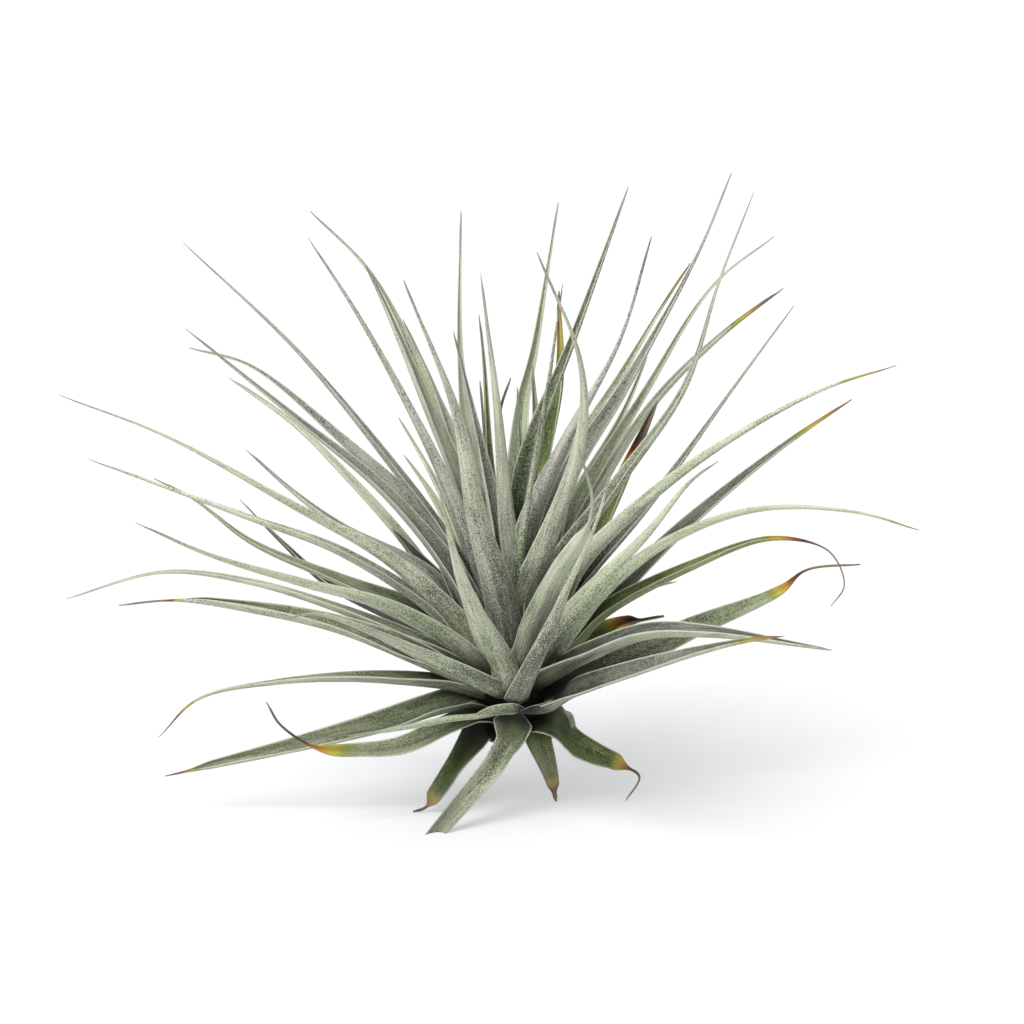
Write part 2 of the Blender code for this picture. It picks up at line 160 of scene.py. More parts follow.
# The blade is a gutter: how far its edges are turned up, at shares of its length, and how much of
# that turn lies in a bend along its middle, between flatter walls. TIGHTEST: the least radius of
# its fold, in thicknesses. ROUND_START: the length over which a wrapped start is rounded.
GUTTER_SHARES = (0.0, 0.12, 0.3, 0.6, 0.85, 1.0)
GUTTER_DEGREES = (50.0, 50.0, 52.0, 78.0, 130.0, 150.0)
BEND_SHARE = (0.9, 0.9, 0.85, 0.5, 0.0, 0.0)
BEND_WIDTH = 0.24
FINE_ACROSS = 41
TIGHTEST = 0.62
ROUND_START = 2.5

# A blade wider than this at its end is cut off level with the floor, over its last rows.
CUT_WIDTH = 3.0
CUT_ROWS = 8

# tone: one of TONES ('dark' is painted shade). yellow, brown: shares of the length where the tip turns so.
# tail: share where the blade has shrunk to a dry thread, and that thread's width.
# wide, taper: factor on the width, and how fast it shrinks. fold: factor on the gutter's angle.
# roll: degrees that the blade past its sheath turns its upper face to the front, and clasp the
# same for its first millimetres. wrap: where its sheath starts, as directions round the stem,
# rises and distances from the head's middle. sheath: the width there. tip: the width at its end.
# lit: how much sooner than usual it comes out of the painted shade among the leaf bases.
Look = namedtuple(
    "Look",
    "tone yellow brown tail wide taper fold roll clasp wrap sheath tip lit",
    defaults=(
        "silver", 2.0, 2.2, None, 1.0, TAPER_POWER, 1.0, 0.0, 0.0, (), SHEATH_WIDTH, THIN_TIP, 1.0,
    ),
)

# A leaf as in the CAD part: its width, where it leaves the head (the direction round the stem and
# the rise), how far back its tip lies (None: it stands on the floor), and its route, as points to
# the right of the stem and above the floor as seen from the front.
Leaf = namedtuple("Leaf", "name width root back route look", defaults=(Look(),))

# A leaf behind the others: where it leaves the head, how steeply its tip rises, and its length.
RearLeaf = namedtuple("RearLeaf", "name width root rise length")

LEAVES = [
    Leaf("foot_leaf_front", 8.0, (-100, -52), None, [(-5, 10), (-11, 2.8), (-17.5, -4.8)],
         Look("cut", wide=0.47, taper=0.8, fold=0.5,
              wrap=((-88, -12, 6.5),), sheath=10.4, tip=4.4, lit=3.0)),
    Leaf("foot_leaf_left", 5.5, (-178, -44), None,
         [(-11, 13), (-16.5, 5), (-20.5, 0.4), (-23.2, -0.4)],
         Look("green", 0.76, 0.88, (0.9, 0.7), wide=0.92, taper=0.38,
              fold=0.4, roll=60, clasp=60, lit=0.75)),
    Leaf("foot_leaf_middle", 4.6, (38, -58), None, [(7, 10), (8.6, 5), (9.3, 2.0)],
         Look("green", 0.72, 0.82, (0.92, 1.2), wide=1.0, taper=0.45, fold=0.6, roll=-53, clasp=-53,
              sheath=4.2, lit=1.8)),
    Leaf("foot_leaf_right", 5.5, (-30, -27), None,
         [(13, 15), (18, 12.6), (23.5, 10.4), (28.2, 7.6), (25.2, 2.2)],
         Look("green", 0.66, 0.74, (0.78, 0.6), wide=1.3, taper=0.9,
              fold=0.45, roll=50, clasp=30, lit=1.4)),
    Leaf("foot_leaf_rear", 5.5, (100, -46), None, [(-3, 15.5), (-6, 7.2)],
         Look("green", 0.7, 0.85, wide=0.8, taper=0.8)),
    Leaf("foot_leaf_rear_left", 5.5, (142, -44), None, [(-8.5, 14.5), (-15.2, 5.8)],
         Look("dark", 0.7, 0.85, wide=0.8, taper=0.8)),
    Leaf("lower_leaf_long", 6.5, (176, -12), 0.0,
         [(-17, 22.3), (-31, 18.2), (-49, 14), (-67, 10.2), (-79.5, 7.7)],
         Look("lined", 0.9, 0.94, (0.96, 0.55), wide=1.12, taper=0.7,
              fold=0.9, roll=28, clasp=20, lit=1.7)),
    Leaf("lower_leaf_short", 5.0, (-145, -18), -22.0, [(-15, 20.4), (-28, 18), (-38.2, 16.8)],
         Look("pale", wide=0.68, fold=0.3, roll=-62, clasp=-70,
              wrap=((-78, 1, 10.2), (-108, -2, 10.2)), sheath=3.8, lit=4.5)),
    Leaf("lower_leaf_hooked", 5.0, (-170, -27), -12.0,
         [(-15, 18.5), (-26, 14.1), (-35, 13.2), (-44, 13.6), (-53.4, 19.3), (-56.5, 24.5)],
         Look("olive", 0.6, 0.73, (0.76, 0.6), wide=0.98, taper=0.75,
              fold=0.7, roll=40, clasp=20, lit=1.7)),
    Leaf("left_leaf_01", 6.5, (176, 1), 8.0,
         [(-15, 27.5), (-35, 29.3), (-55, 28.5), (-72, 25), (-81, 16.5)],
         Look("lined", 0.86, 0.9, wide=0.95, taper=1.4, roll=5, lit=2.2)),
    Leaf("left_leaf_02", 6.5, (180, 11), 10.0,
         [(-20, 32.5), (-40, 40.5), (-60, 45), (-77, 47.5), (-90, 46.5)],
         Look("lined", 0.84, 0.86, (0.88, 0.6), wide=1.25, taper=0.88, fold=1.1, roll=20, lit=2.0)),
    Leaf("left_leaf_03", 6.0, (-126, 18), -50.0, [(-20, 33.5), (-35, 41), (-45, 44.3), (-53, 43.5)],
         Look("silver", wide=1.1, taper=1.45, roll=-30, lit=1.8)),
    Leaf("left_leaf_04", 6.0, (167, 20), 25.0,
         [(-20, 36.5), (-40, 45), (-60, 51.3), (-80, 53.8), (-102, 48)],
         Look("silver", wide=0.8, taper=1.3, lit=0.8)),
    Leaf("left_leaf_05", 7.0, (-134, 35), -50.0,
         [(-15, 37), (-30, 45.5), (-50, 51.3), (-70, 57.8), (-86.3, 65.3)],
         Look("pale", wide=0.86, taper=1.05, roll=-15, lit=0.6)),
    Leaf("left_leaf_06", 6.0, (170, 32), 30.0,
         [(-20, 45), (-40, 58), (-60, 65.7), (-80, 73.3), (-97, 79.7)],
         Look("silver", wide=0.98, taper=1.15, roll=5, lit=0.6)),
    Leaf("left_leaf_07", 7.0, (143, 27), 42.0,
         [(-20, 43), (-40, 51.5), (-60, 60.5), (-73, 70.5), (-82, 75.3)],
         Look("olive", 0.95, 0.98, wide=0.93, taper=1.25, roll=5, lit=0.6)),
    Leaf("left_leaf_08", 5.0, (140, 16), 50.0, [(-20, 39), (-42.5, 50.7), (-53, 60.5), (-62.5, 70.5)],
         Look("dark", tail=(0.95, 0.5), wide=1.15, taper=1.0)),
    Leaf("left_leaf_09", 7.5, (-160, 41), -28.0,
         [(-15, 43), (-30, 56.7), (-50, 68.3), (-80, 85), (-103.7, 94.3)],
         Look("pale", wide=1.0, taper=1.75, roll=-25, lit=1.3)),
    Leaf("left_leaf_10", 5.5, (180, 49), 5.0, [(-20, 52), (-40, 63.8), (-50, 71.5), (-61.3, 82)],
         Look("mauve", wide=1.3, taper=1.1, roll=15)),
    Leaf("upper_left_leaf_01", 6.5, (-166, 57), -17.0,
         [(-15, 53), (-30, 71.6), (-50, 88.8), (-74.8, 109.3)],
         Look("mauve", wide=1.16, taper=1.4, roll=42)),
    Leaf("upper_left_leaf_02", 6.5, (148, 56), 25.0, [(-20, 64.5), (-40, 84.3), (-60, 100.8), (-74, 105)],
         Look("mauve", wide=1.1, taper=1.45, fold=0.7, roll=20)),
    Leaf("upper_left_leaf_03", 6.0, (140, 37), 50.0, [(-25, 60), (-40, 77), (-50, 87), (-65, 98.2)],
         Look("pale", wide=0.6, taper=0.6)),
    Leaf("upper_left_leaf_04", 6.5, (172, 64), 0.0, [(-14.5, 58), (-30, 80), (-50, 104.4), (-75.5, 129)],
         Look("mauve", wide=0.9, taper=1.45, roll=5)),
    Leaf("upper_left_leaf_05", 6.5, (-160, 72), -5.0, [(-12, 62), (-20, 81.7), (-35, 110.6), (-47, 130)],
         Look("mauve", wide=0.95, taper=1.2, roll=-15)),
    Leaf("upper_left_leaf_06", 8.0, (-104, 66), -40.0, [(-4, 50), (-8.5, 65), (-13.5, 90), (-25.3, 120.3)],
         Look("speckled", wide=0.85, taper=1.35, fold=0.75, roll=-12)),
    Leaf("upper_left_leaf_07", 5.5, (148, 45), 18.0, [(-12, 43), (-19, 52.5), (-28, 64)],
         Look("dark", wide=1.55, taper=0.7, roll=22)),
    Leaf("upper_right_leaf_01", 6.5, (38, 68), 28.0, [(13, 75), (25, 95), (42, 127), (49.2, 144.8)],
         Look("mauve", wide=1.5, taper=1.65, roll=15)),
    Leaf("upper_right_leaf_02", 5.5, (75, 61), 48.0, [(10, 74), (24, 98), (33, 113.5), (39.8, 124.2)],
         Look("pale", 0.9, 0.97, wide=0.83, taper=0.9)),
    Leaf("upper_right_leaf_03", 6.0, (96, 54), 72.0, [(12, 66), (24, 89), (30, 103)],
         Look("pale", wide=1.0, taper=0.75)),
    Leaf("upper_right_leaf_04", 6.5, (57, 46), 66.0, [(14, 66), (30, 95), (45, 119), (58.8, 130.3)],
         Look("pale", wide=1.21, taper=1.65, roll=10)),
    Leaf("upper_right_leaf_05", 6.5, (-18, 67), -14.0,
         [(10, 53), (25, 75), (39, 96), (46.5, 120), (54.2, 140.3)],
         Look("silver", wide=1.3, taper=1.8, roll=50)),
    Leaf("upper_right_leaf_06", 6.0, (39, 53), 35.0, [(13, 59), (30, 89.4), (45.8, 106.4), (61, 118.6)],
         Look("silver", 0.86, 0.93, wide=0.7, taper=0.65, roll=-10)),
    Leaf("upper_right_leaf_07", 5.5, (13, 60), 7.0, [(11.5, 50), (21, 66), (28, 82), (32.5, 93)],
         Look("green", 0.72, 0.81, wide=1.3, taper=0.6, roll=30)),
    Leaf("upper_right_leaf_08", 6.0, (4, 49), -4.0, [(15, 50), (30.6, 69), (50.8, 97.3), (63.3, 114.5)],
         Look("mauve", wide=1.1, taper=1.9, roll=20)),
    Leaf("upper_right_leaf_09", 7.0, (-30, 56), -30.0,
         [(15, 54), (30.6, 70), (50.3, 84.6), (70, 95.4), (86.6, 101)],
         Look("silver", 0.9, 0.97, wide=1.02, taper=1.5, roll=-30)),
    Leaf("upper_right_leaf_10", 6.5, (31, 37), 38.0, [(22, 47.4), (40.5, 65.3), (60.4, 82), (76.5, 93.3)],
         Look("streaked", 0.84, 0.95, wide=0.96, taper=1.05, fold=0.8, roll=18)),
    Leaf("upper_right_leaf_11", 7.5, (-42, 46), -36.0,
         [(8, 36), (20, 51), (30.5, 62.5), (40, 74.5), (46.2, 79.3)],
         Look("pale", wide=0.95, taper=1.15, roll=-35, lit=1.7)),
    Leaf("right_leaf_01", 7.0, (-8, 39), -20.0,
         [(20, 48), (35, 60.2), (55, 67.8), (77, 67.5), (91.8, 63.6)],
         Look("pale", 0.94, 0.97, wide=0.86, taper=1.15, roll=-28, lit=1.6)),
    Leaf("right_leaf_02", 6.5, (0, 28), 6.0,
         [(20, 43.5), (40, 54.6), (58, 61.3), (71, 59), (74.8, 51), (71.8, 46.3)],
         Look("green", 0.68, 0.74, (0.82, 0.55), wide=1.2, taper=1.65, fold=1.1, roll=16)),
    Leaf("right_leaf_03", 6.0, (18, 8), 30.0, [(20, 31.5), (40, 41), (60, 49.6), (66, 54.4), (78.4, 55.8)],
         Look("olive", 0.72, 0.78, (0.84, 0.55), wide=1.15, taper=1.1,
              fold=0.5, roll=45, clasp=20)),
    Leaf("right_leaf_04", 6.0, (34, 20), 20.0, [(15, 37), (23, 41.5), (33.8, 44)],
         Look("green", 0.6, 0.72, (0.86, 1.4), wide=1.1, taper=0.5, roll=40)),
    Leaf("right_leaf_05", 6.5, (-34, 27), -50.0, [(15, 33), (30, 39), (45, 39.4), (72, 36.3)],
         Look("streaked", wide=1.12, taper=0.85, fold=1.1, roll=14, lit=1.1)),
    Leaf("right_leaf_06", 6.5, (-36, -9), -58.0, [(14, 26.3), (30, 31.8), (50, 37.6), (61, 39.5)],
         Look("streaked", 0.84, 0.95, wide=1.05, taper=0.95, fold=0.8, roll=28, clasp=-10,
              wrap=((-84, -2, 10.4), (-60, -5, 10.4)), sheath=3.0, lit=2.0)),
    Leaf("front_leaf_left", 7.5, (-108, 28), -55.0, [(-4, 33), (-9, 44), (-13, 55), (-17, 71.5)],
         Look("pale", wide=0.88, taper=1.6, fold=0.5, roll=-15, lit=3.0)),
    Leaf("front_leaf_right", 6.0, (-80, 52), -40.0, [(4, 42), (10, 54), (16, 63), (17.5, 70), (14.5, 82)],
         Look("silver", tail=(0.72, 0.7), wide=0.68, taper=0.55, fold=0.7, roll=-10, lit=1.3)),
    Leaf("front_leaf_middle", 6.5, (-88, 13), -62.0, [(8, 41), (12, 50.5), (18, 64), (22.5, 79)],
         Look("speckled", wide=0.64, taper=2.2, fold=0.5, sheath=5.2, lit=3.2)),
]

# The dry end of a lost leaf, right of the stem.
HUSK = Leaf("husk", 5.0, (4, -24), 2.0, [(11.4, 21.5), (12.6, 18.6)],
            Look("husk", wide=0.6, taper=0.3, fold=0.6, sheath=4.5, tip=2.4, lit=20.0))

REAR_LEAVES = [
    RearLeaf("rear_leaf_01", 6.5, (62, 6), 4, 84),
    RearLeaf("rear_leaf_02", 6.5, (92, 12), 8, 92),
    RearLeaf("rear_leaf_03", 6.5, (117, 4), 3, 86),
    RearLeaf("rear_leaf_04", 6.5, (74, 24), 24, 90),
    RearLeaf("rear_leaf_05", 6.5, (108, 22), 22, 94),
    RearLeaf("rear_leaf_06", 6.0, (92, 32), 30, 78),
    RearLeaf("rear_leaf_07", 6.0, (118, 46), 42, 78),
    RearLeaf("rear_leaf_08", 5.5, (72, -14), -12, 66),
    RearLeaf("rear_leaf_09", 5.5, (110, -16), -14, 70),
]

# How much steeper a rear leaf starts than its tip rises, and where its control points lie.
REAR_ARCH_DEG = 14.0
REAR_SHARES = (0.28, 0.52, 0.78, 1.0)
REAR_TONES = ("silver", "olive", "mauve")

# The heart's leaves come out of the painted shade among the leaf bases sooner than others, but
# its inner, greener ones later.
HEART_LIT = 1.5
INNER_LIT = 0.8
INNER_TONES = ("frosted", "olive", "green", "dark")
HEART_LEAVES = [
    Leaf("heart_leaf_01", 5.0, None, 25.0, [(-10, 70), (-19, 97), (-25.5, 111.5)],
         Look(wide=1.8, taper=1.5)),
    Leaf("heart_leaf_02", 4.0, None, 5.0, [(-6, 70), (-11, 95), (-14, 108.7)],
         Look("mauve", wide=2.0, taper=1.2, roll=25)),
    Leaf("heart_leaf_03", 4.0, None, -5.0, [(-3, 65), (-4.5, 90), (-7.8, 122)],
         Look(wide=1.75, taper=1.3, roll=-15)),
    Leaf("heart_leaf_04", 3.0, None, 12.0, [(-5.5, 72), (-7.2, 102), (-8.2, 112.5)],
         Look("green", wide=1.4)),
    Leaf("heart_leaf_05", 3.5, None, 20.0, [(-6, 75), (-8, 97.5)], Look("dark", wide=1.2)),
    Leaf("heart_leaf_06", 3.5, None, 40.0, [(-3, 76), (-3.5, 90), (-1, 98.2)],
         Look("mauve", 0.75, 0.85, wide=1.4)),
    Leaf("heart_leaf_07", 5.0, None, -24.0, [(7, 57), (15.5, 84), (15, 101.5), (5, 126.7)],
         Look(wide=1.75, taper=1.65, roll=-15)),
    Leaf("heart_leaf_08", 6.0, None, 10.0, [(3, 78), (14, 108), (25.7, 141.5)],
         Look("frosted", wide=1.2, taper=1.15, roll=5)),
    Leaf("heart_leaf_09", 3.5, None, 0.0, [(4, 70), (7, 90), (10.8, 119.5)],
         Look("frosted", 0.93, 0.96, wide=2.0, taper=1.4)),
    Leaf("heart_leaf_10", 4.0, None, 22.0, [(3, 66), (5, 84), (4, 101)],
         Look("olive", wide=1.65, taper=0.8)),
    Leaf("heart_leaf_11", 4.0, None, -10.0, [(1, 55), (3.5, 72), (6, 90)], Look("frosted", wide=1.1)),
    Leaf("heart_leaf_12", 3.5, None, 8.0, [(1, 60), (1.5, 80), (0.5, 96)], Look("green", wide=1.2)),
    Leaf("heart_leaf_13", 5.5, None, 60.0, [(-10.5, 86), (-12.5, 105), (-12.3, 136)],
         Look("pale", wide=1.38, taper=1.3, roll=15)),
    Leaf("heart_leaf_14", 6.0, None, 60.0, [(1.5, 90), (4.5, 105), (9.8, 138)],
         Look("pale", wide=1.6, taper=1.3)),
    Leaf("heart_leaf_15", 4.0, None, 42.0, [(6, 76), (10.5, 97), (10, 118)],
         Look("green", 0.8, 0.96, wide=1.5, taper=0.6)),
    Leaf("heart_leaf_16", 6.0, None, 12.0, [(-11, 68), (-20, 90), (-30, 115), (-34.5, 124.7)],
         Look(wide=1.2, taper=0.8, roll=20)),
    Leaf("heart_leaf_17", 6.5, None, 45.0, [(-10, 72), (-20, 96), (-33, 122), (-46.5, 136)],
         Look(wide=1.08, taper=1.2, roll=15)),
    Leaf("heart_leaf_18", 6.5, None, -10.0, [(3.5, 65), (12, 84), (24, 107), (31, 130.3)],
         Look("mauve", wide=1.2, taper=1.7, roll=-30)),
]


def seen_point(right, above, back):
    """The point that lies this far back and is seen at this place from the front."""
    up, along = math.cos(VIEW_TILT), math.sin(VIEW_TILT)
    rise = above - VIEW_MIDDLE[1]
    z = rise * (VIEW_DISTANCE + back * up) + VIEW_DISTANCE * (VIEW_MIDDLE[1] - back * along)
    z /= VIEW_DISTANCE * up + rise * along
    depth = back * up - z * along
    x = VIEW_MIDDLE[0] + (right - VIEW_MIDDLE[0]) * (VIEW_DISTANCE + depth) / VIEW_DISTANCE
    return np.array([x, back, z])


def direction(around, rise):
    around, rise = math.radians(around), math.radians(rise)
    flat = math.cos(rise)
    return np.array([flat * math.cos(around), flat * math.sin(around), math.sin(rise)])


def head_centre():
    return np.array([0.0, 0.0, HEAD_HEIGHT])


def bud_centre():
    return np.array([0.0, 0.0, HEAD_HEIGHT + HEAD_RADIUS + SEAT_GAP + BUD_HEIGHT * BUD_MIDDLE])


def depth_on_floor(above):
    """How far back the point seen at this height lies, if a thin tip rests there on the floor."""
    up, along = math.cos(VIEW_TILT), math.sin(VIEW_TILT)
    rise = above - VIEW_MIDDLE[1]
    return (VIEW_DISTANCE * above - TIP_REST * (VIEW_DISTANCE * up + rise * along)) / (
        VIEW_DISTANCE * along - rise * up
    )


def seen_points(leaf):
    """A leaf's control points in space, lying further back evenly along the route."""
    seen = np.array([(0.0, HEAD_HEIGHT * math.cos(VIEW_TILT))] + leaf.route)
    run = np.cumsum(np.linalg.norm(np.diff(seen, axis=0), axis=1))
    back = depth_on_floor(leaf.route[-1][1]) if leaf.back is None else leaf.back
    return [seen_point(*place, back * share) for place, share in zip(leaf.route, run / run[-1])]


def sheathed(points, around, rise, wrap=()):
    """The route with a start on the stem's core, or round the head, before its root on the head."""
    first = head_centre() + (HEAD_RADIUS + SEAT_GAP) * direction(around, rise)
    angle = math.radians(around)
    lift = math.sin(math.radians(rise))
    drop = CORE_DROP + (RISING_DROP if lift > 0 else HANGING_DROP) * lift
    core = np.array([CORE_RADIUS * math.cos(angle), CORE_RADIUS * math.sin(angle), first[2] - drop])
    start = [head_centre() + reach * direction(*place) for *place, reach in wrap] or [core]
    return start + [first, (first + points[0]) / 2] + points


def front_route(leaf):
    return sheathed(seen_points(leaf), *leaf.root, leaf.look.wrap)


def heart_route(leaf):
    points = seen_points(leaf)
    centre = bud_centre()
    away = points[0] - centre
    first = centre + (BUD_RADIUS - HEART_ROOT_DEPTH) * away / np.linalg.norm(away)
    core = np.array([0.0, 0.0, HEAD_HEIGHT + HEAD_RADIUS * HEART_START])
    return [core, first, (first + points[0]) / 2] + points


def rear_route(leaf):
    """An arch that leaves the head steeply and levels out towards its tip."""
    points = []
    for share in REAR_SHARES:
        rise = leaf.rise + REAR_ARCH_DEG * (1 - share)
        points.append(head_centre() + leaf.length * share * direction(leaf.root[0], rise))
    return sheathed(points, *leaf.root)


def smooth_curve(points):
    """Many points on a smooth curve through the given ones."""
    points = np.array(points)
    knots = np.concatenate([[0.0], np.cumsum(np.linalg.norm(np.diff(points, axis=0), axis=1) ** 0.5)])
    slopes = np.gradient(points, knots, axis=0)
    at = np.linspace(0, knots[-1], FINE_STEPS)
    span = np.clip(np.searchsorted(knots, at, side="right") - 1, 0, len(knots) - 2)
    width = (knots[span + 1] - knots[span])[:, None]
    t = (at - knots[span])[:, None] / width
    return (
        (2 * t**3 - 3 * t**2 + 1) * points[span]
        + (t**3 - 2 * t**2 + t) * width * slopes[span]
        + (3 * t**2 - 2 * t**3) * points[span + 1]
        + (t**3 - t**2) * width * slopes[span + 1]
    )


def turned(vector, old, new):
    """The vector after the smallest turn that takes the old direction to the new one."""
    axis = np.cross(old, new)
    return vector + np.cross(axis, vector) + np.cross(axis, np.cross(axis, vector)) / (1 + old @ new)


def carried(side, headings):
    """A direction across the blade, carried along its headings without turning about them."""
    side = side - headings[0] * (side @ headings[0])
    sides = [side / np.linalg.norm(side)]
    for old, new in zip(headings, headings[1:]):
        side = turned(sides[-1], old, new)
        side -= new * (side @ new)
        sides.append(side / np.linalg.norm(side))
    return sides


def blade_frames(curve, root, around):
    """Along the curve: the share of its length, its heading and the direction across the blade.

    The blade lies level across where it passes its root on the head."""
    lengths = np.linalg.norm(np.diff(curve, axis=0), axis=1)
    heading = np.gradient(curve, axis=0)
    heading /= np.linalg.norm(heading, axis=1)[:, None]
    level = np.array([-math.sin(around), math.cos(around), 0.0])
    at = int(np.argmin(np.linalg.norm(curve - root, axis=1)))
    outward = carried(level, heading[at:])
    inward = carried(outward[0], heading[: at + 1][::-1])[::-1]
    share = np.concatenate([[0.0], np.cumsum(lengths)]) / lengths.sum()
    return share, lengths.sum(), heading, np.array(inward[:-1] + outward)


def smooth(share, low, high):
    part = np.clip((share - low) / (high - low), 0.0, 1.0)
    return part * part * (3 - 2 * part)


def blade_widths(share, leaf_width, look, length):
    """The width at each share of the length: a sheath, a long taper, and a thread at a dry tip."""
    end = look.tail[0] if look.tail else 1.0
    widest = leaf_width * look.wide * BLADE_GROWTH
    blade = look.tip + (widest - look.tip) * np.clip(1 - share, 0.0, 1.0) ** look.taper
    sheath_end = min(SHEATH_LENGTH / length, MOST_SHEATH)
    width = look.sheath + (blade - look.sheath) * smooth(share, 0.0, sheath_end)
    if look.tail:
        thread = smooth(share, end - THREAD_SPAN, end)
        width = width + (look.tail[1] - width) * thread
    if look.tip < CUT_WIDTH:
        width = width * (END_SHARE + (1 - END_SHARE) * smooth(1 - share, 0.0, END_SPAN))
    if look.wrap:
        width = width * np.sqrt(np.clip(share * length / ROUND_START + 0.05, 0.0, 1.0))
    return width


def blade_turns(at, run, look, to_front, rand):
    """How far the blade is turned about its heading, in radians: its roll and a slow wander."""
    turn = look.clasp * (1 - smooth(run, TURN_START, CLASP_END))
    turn = turn + look.roll * smooth(run, TURN_START, ROLL_END)
    wander = rand.uniform(-WANDER_DEG, WANDER_DEG) * at**1.5
    sway = SWAY_DEG * np.sin(run / SWAY_RUN + rand.uniform(0, 6)) * smooth(at, *WAVES_START)
    return np.radians(to_front * turn + (wander + sway))


def along_blade(points, around, look, rand):
    """The blade's stations: shares of its length, places, directions along, across and out."""
    curve = smooth_curve(points)
    root = points[max(len(look.wrap), 1)]
    share, length, heading, sides = blade_frames(curve, root, around)
    spread = np.linspace(0, 1, STATIONS)
    at = spread + MIDDLE_CROWDING * np.sin(2 * math.pi * spread) / (2 * math.pi)
    place, ahead, side = (
        np.stack([np.interp(at, share, rows[:, i]) for i in range(3)], axis=1)
        for rows in (curve, heading, sides)
    )
    ahead /= np.linalg.norm(ahead, axis=1)[:, None]
    side -= ahead * (side * ahead).sum(1)[:, None]
    side /= np.linalg.norm(side, axis=1)[:, None]
    out = np.cross(ahead, side)
    to_front = 1 if points[-1][0] > 0 else -1
    turn = blade_turns(at, at * length, look, to_front, rand)[:, None]
    cos, sin = np.cos(turn), np.sin(turn)
    return at, length, place, ahead, side * cos + out * sin, out * cos - side * sin


def gutter(u, angle, bend_share, lean):
    """The section of a blade of half width 1: places across and up, and the slope at each."""
    fine = np.linspace(-1, 1, FINE_ACROSS)
    bend = np.tanh(fine / BEND_WIDTH) / math.tanh(1 / BEND_WIDTH)
    slope = angle * ((1 - bend_share) * fine + bend_share * bend + lean * (1 - fine * fine))
    step = fine[1] - fine[0]
    across = np.concatenate([[0.0], np.cumsum((np.cos(slope[1:]) + np.cos(slope[:-1])) / 2 * step)])
    up = np.concatenate([[0.0], np.cumsum((np.sin(slope[1:]) + np.sin(slope[:-1])) / 2 * step)])
    middle = FINE_ACROSS // 2
    across, up = across - across[middle], up - up[middle]
    return np.interp(u, fine, across), np.interp(u, fine, up), np.interp(u, fine, slope)


def section_ring(u, width, thick, angle, bend_share, lean):
    """A ring round the blade, upper face first: places across and out, with u and the face."""
    x, y, slope = gutter(u, angle, bend_share, lean)
    x, y = x * width / 2, y * width / 2
    half = (EDGE_THICKNESS + (thick - EDGE_THICKNESS) * (1 - np.abs(u) ** EDGE_POWER)) / 2
    half = np.minimum(half, EDGE_SHARE * width)
    groove = CREASE * min(width / CREASE_FULL, 1) * np.exp(-((u / CREASE_WIDTH) ** 2))
    ring = []
    for face in (1, -1):
        for k in range(ACROSS)[::face]:
            lift = half[k] * face - (groove[k] if face > 0 else -KEEL * groove[k])
            across = x[k] - math.sin(slope[k]) * lift
            out = y[k] + math.cos(slope[k]) * lift
            ring.append((across, out, u[k], face))
    return ring


def level_end(verts, ahead):
    """Runs the last rows on along the blade until its end lies level on the floor."""
    drop = verts[-1, :, 2] / -ahead[-1][2]
    for row, part in zip(range(-CUT_ROWS, 0), np.linspace(0, 1, CUT_ROWS + 1)[1:]):
        verts[row] += part * drop[:, None] * ahead[-1]


def tube_faces(ring):
    """The faces of a closed blade, from its rings of points."""
    faces = []
    for i in range(STATIONS - 1):
        for k in range(ring):
            j = (k + 1) % ring
            faces.append((i * ring + k, i * ring + j, (i + 1) * ring + j, (i + 1) * ring + k))
    last = (STATIONS - 1) * ring
    for k in range(ring // 2 - 1):
        faces.append((k + 1, k, ring - 1 - k, ring - 2 - k))
        faces.append((last + k, last + k + 1, last + ring - 2 - k, last + ring - 1 - k))
    return faces


def blade_arrays(points, around, leaf_width, look, seed):
    """Vertices, faces and per-vertex values of one leaf, in millimetres."""
    rand = random.Random(seed)
    at, length, place, ahead, side, out = along_blade(points, around, look, rand)
    run = at * length
    width = blade_widths(at, leaf_width, look, length)
    width *= 1 + SWELL * np.sin(run / SWELL_RUN + rand.uniform(0, 6)) * smooth(at, *WAVES_START)
    thick = MIDDLE_THICKNESS + (TIP_THICKNESS - MIDDLE_THICKNESS) * smooth(at, *THINNING)
    thick = np.minimum(thick, MOST_THICK * width)
    angle = look.fold * np.radians(np.interp(at, GUTTER_SHARES, GUTTER_DEGREES))
    angle *= 1 + FOLD_WAVE * np.sin(run / FOLD_RUN + rand.uniform(0, 6))
    angle = np.minimum(angle, width / (2 * TIGHTEST * thick))
    lean = rand.uniform(-MOST_LEAN, MOST_LEAN)
    bend_share = np.interp(at, GUTTER_SHARES, BEND_SHARE)
    u = np.linspace(-1, 1, ACROSS)
    verts, data = [], []
    for i in range(STATIONS):
        for px, py, uk, face in section_ring(u, width[i], thick[i], angle[i], bend_share[i], lean):
            verts.append(place[i] + side[i] * px + out[i] * py)
            data.append((run[i], uk * width[i] / 2, at[i], uk, face))
    verts = np.array(verts).reshape(STATIONS, 2 * ACROSS, 3)
    if look.tip > CUT_WIDTH:
        level_end(verts, ahead)
    return verts.reshape(-1, 3), tube_faces(2 * ACROSS), np.array(data), length


def add_values(mesh, name, rows):
    values = mesh.attributes.new(name, "FLOAT_VECTOR", "POINT")
    values.data.foreach_set("vector", np.asarray(np.concatenate(rows), np.float32).ravel())


# The seeds of each kind of leaf start here, and each leaf reads the noises at a place of its own.
FRONT_SEED = 1
REAR_SEED = 101
HEART_SEED = 201
HUSK_SEED = 301
SEED_STEP = 37.31
SEED_SPAN = 400


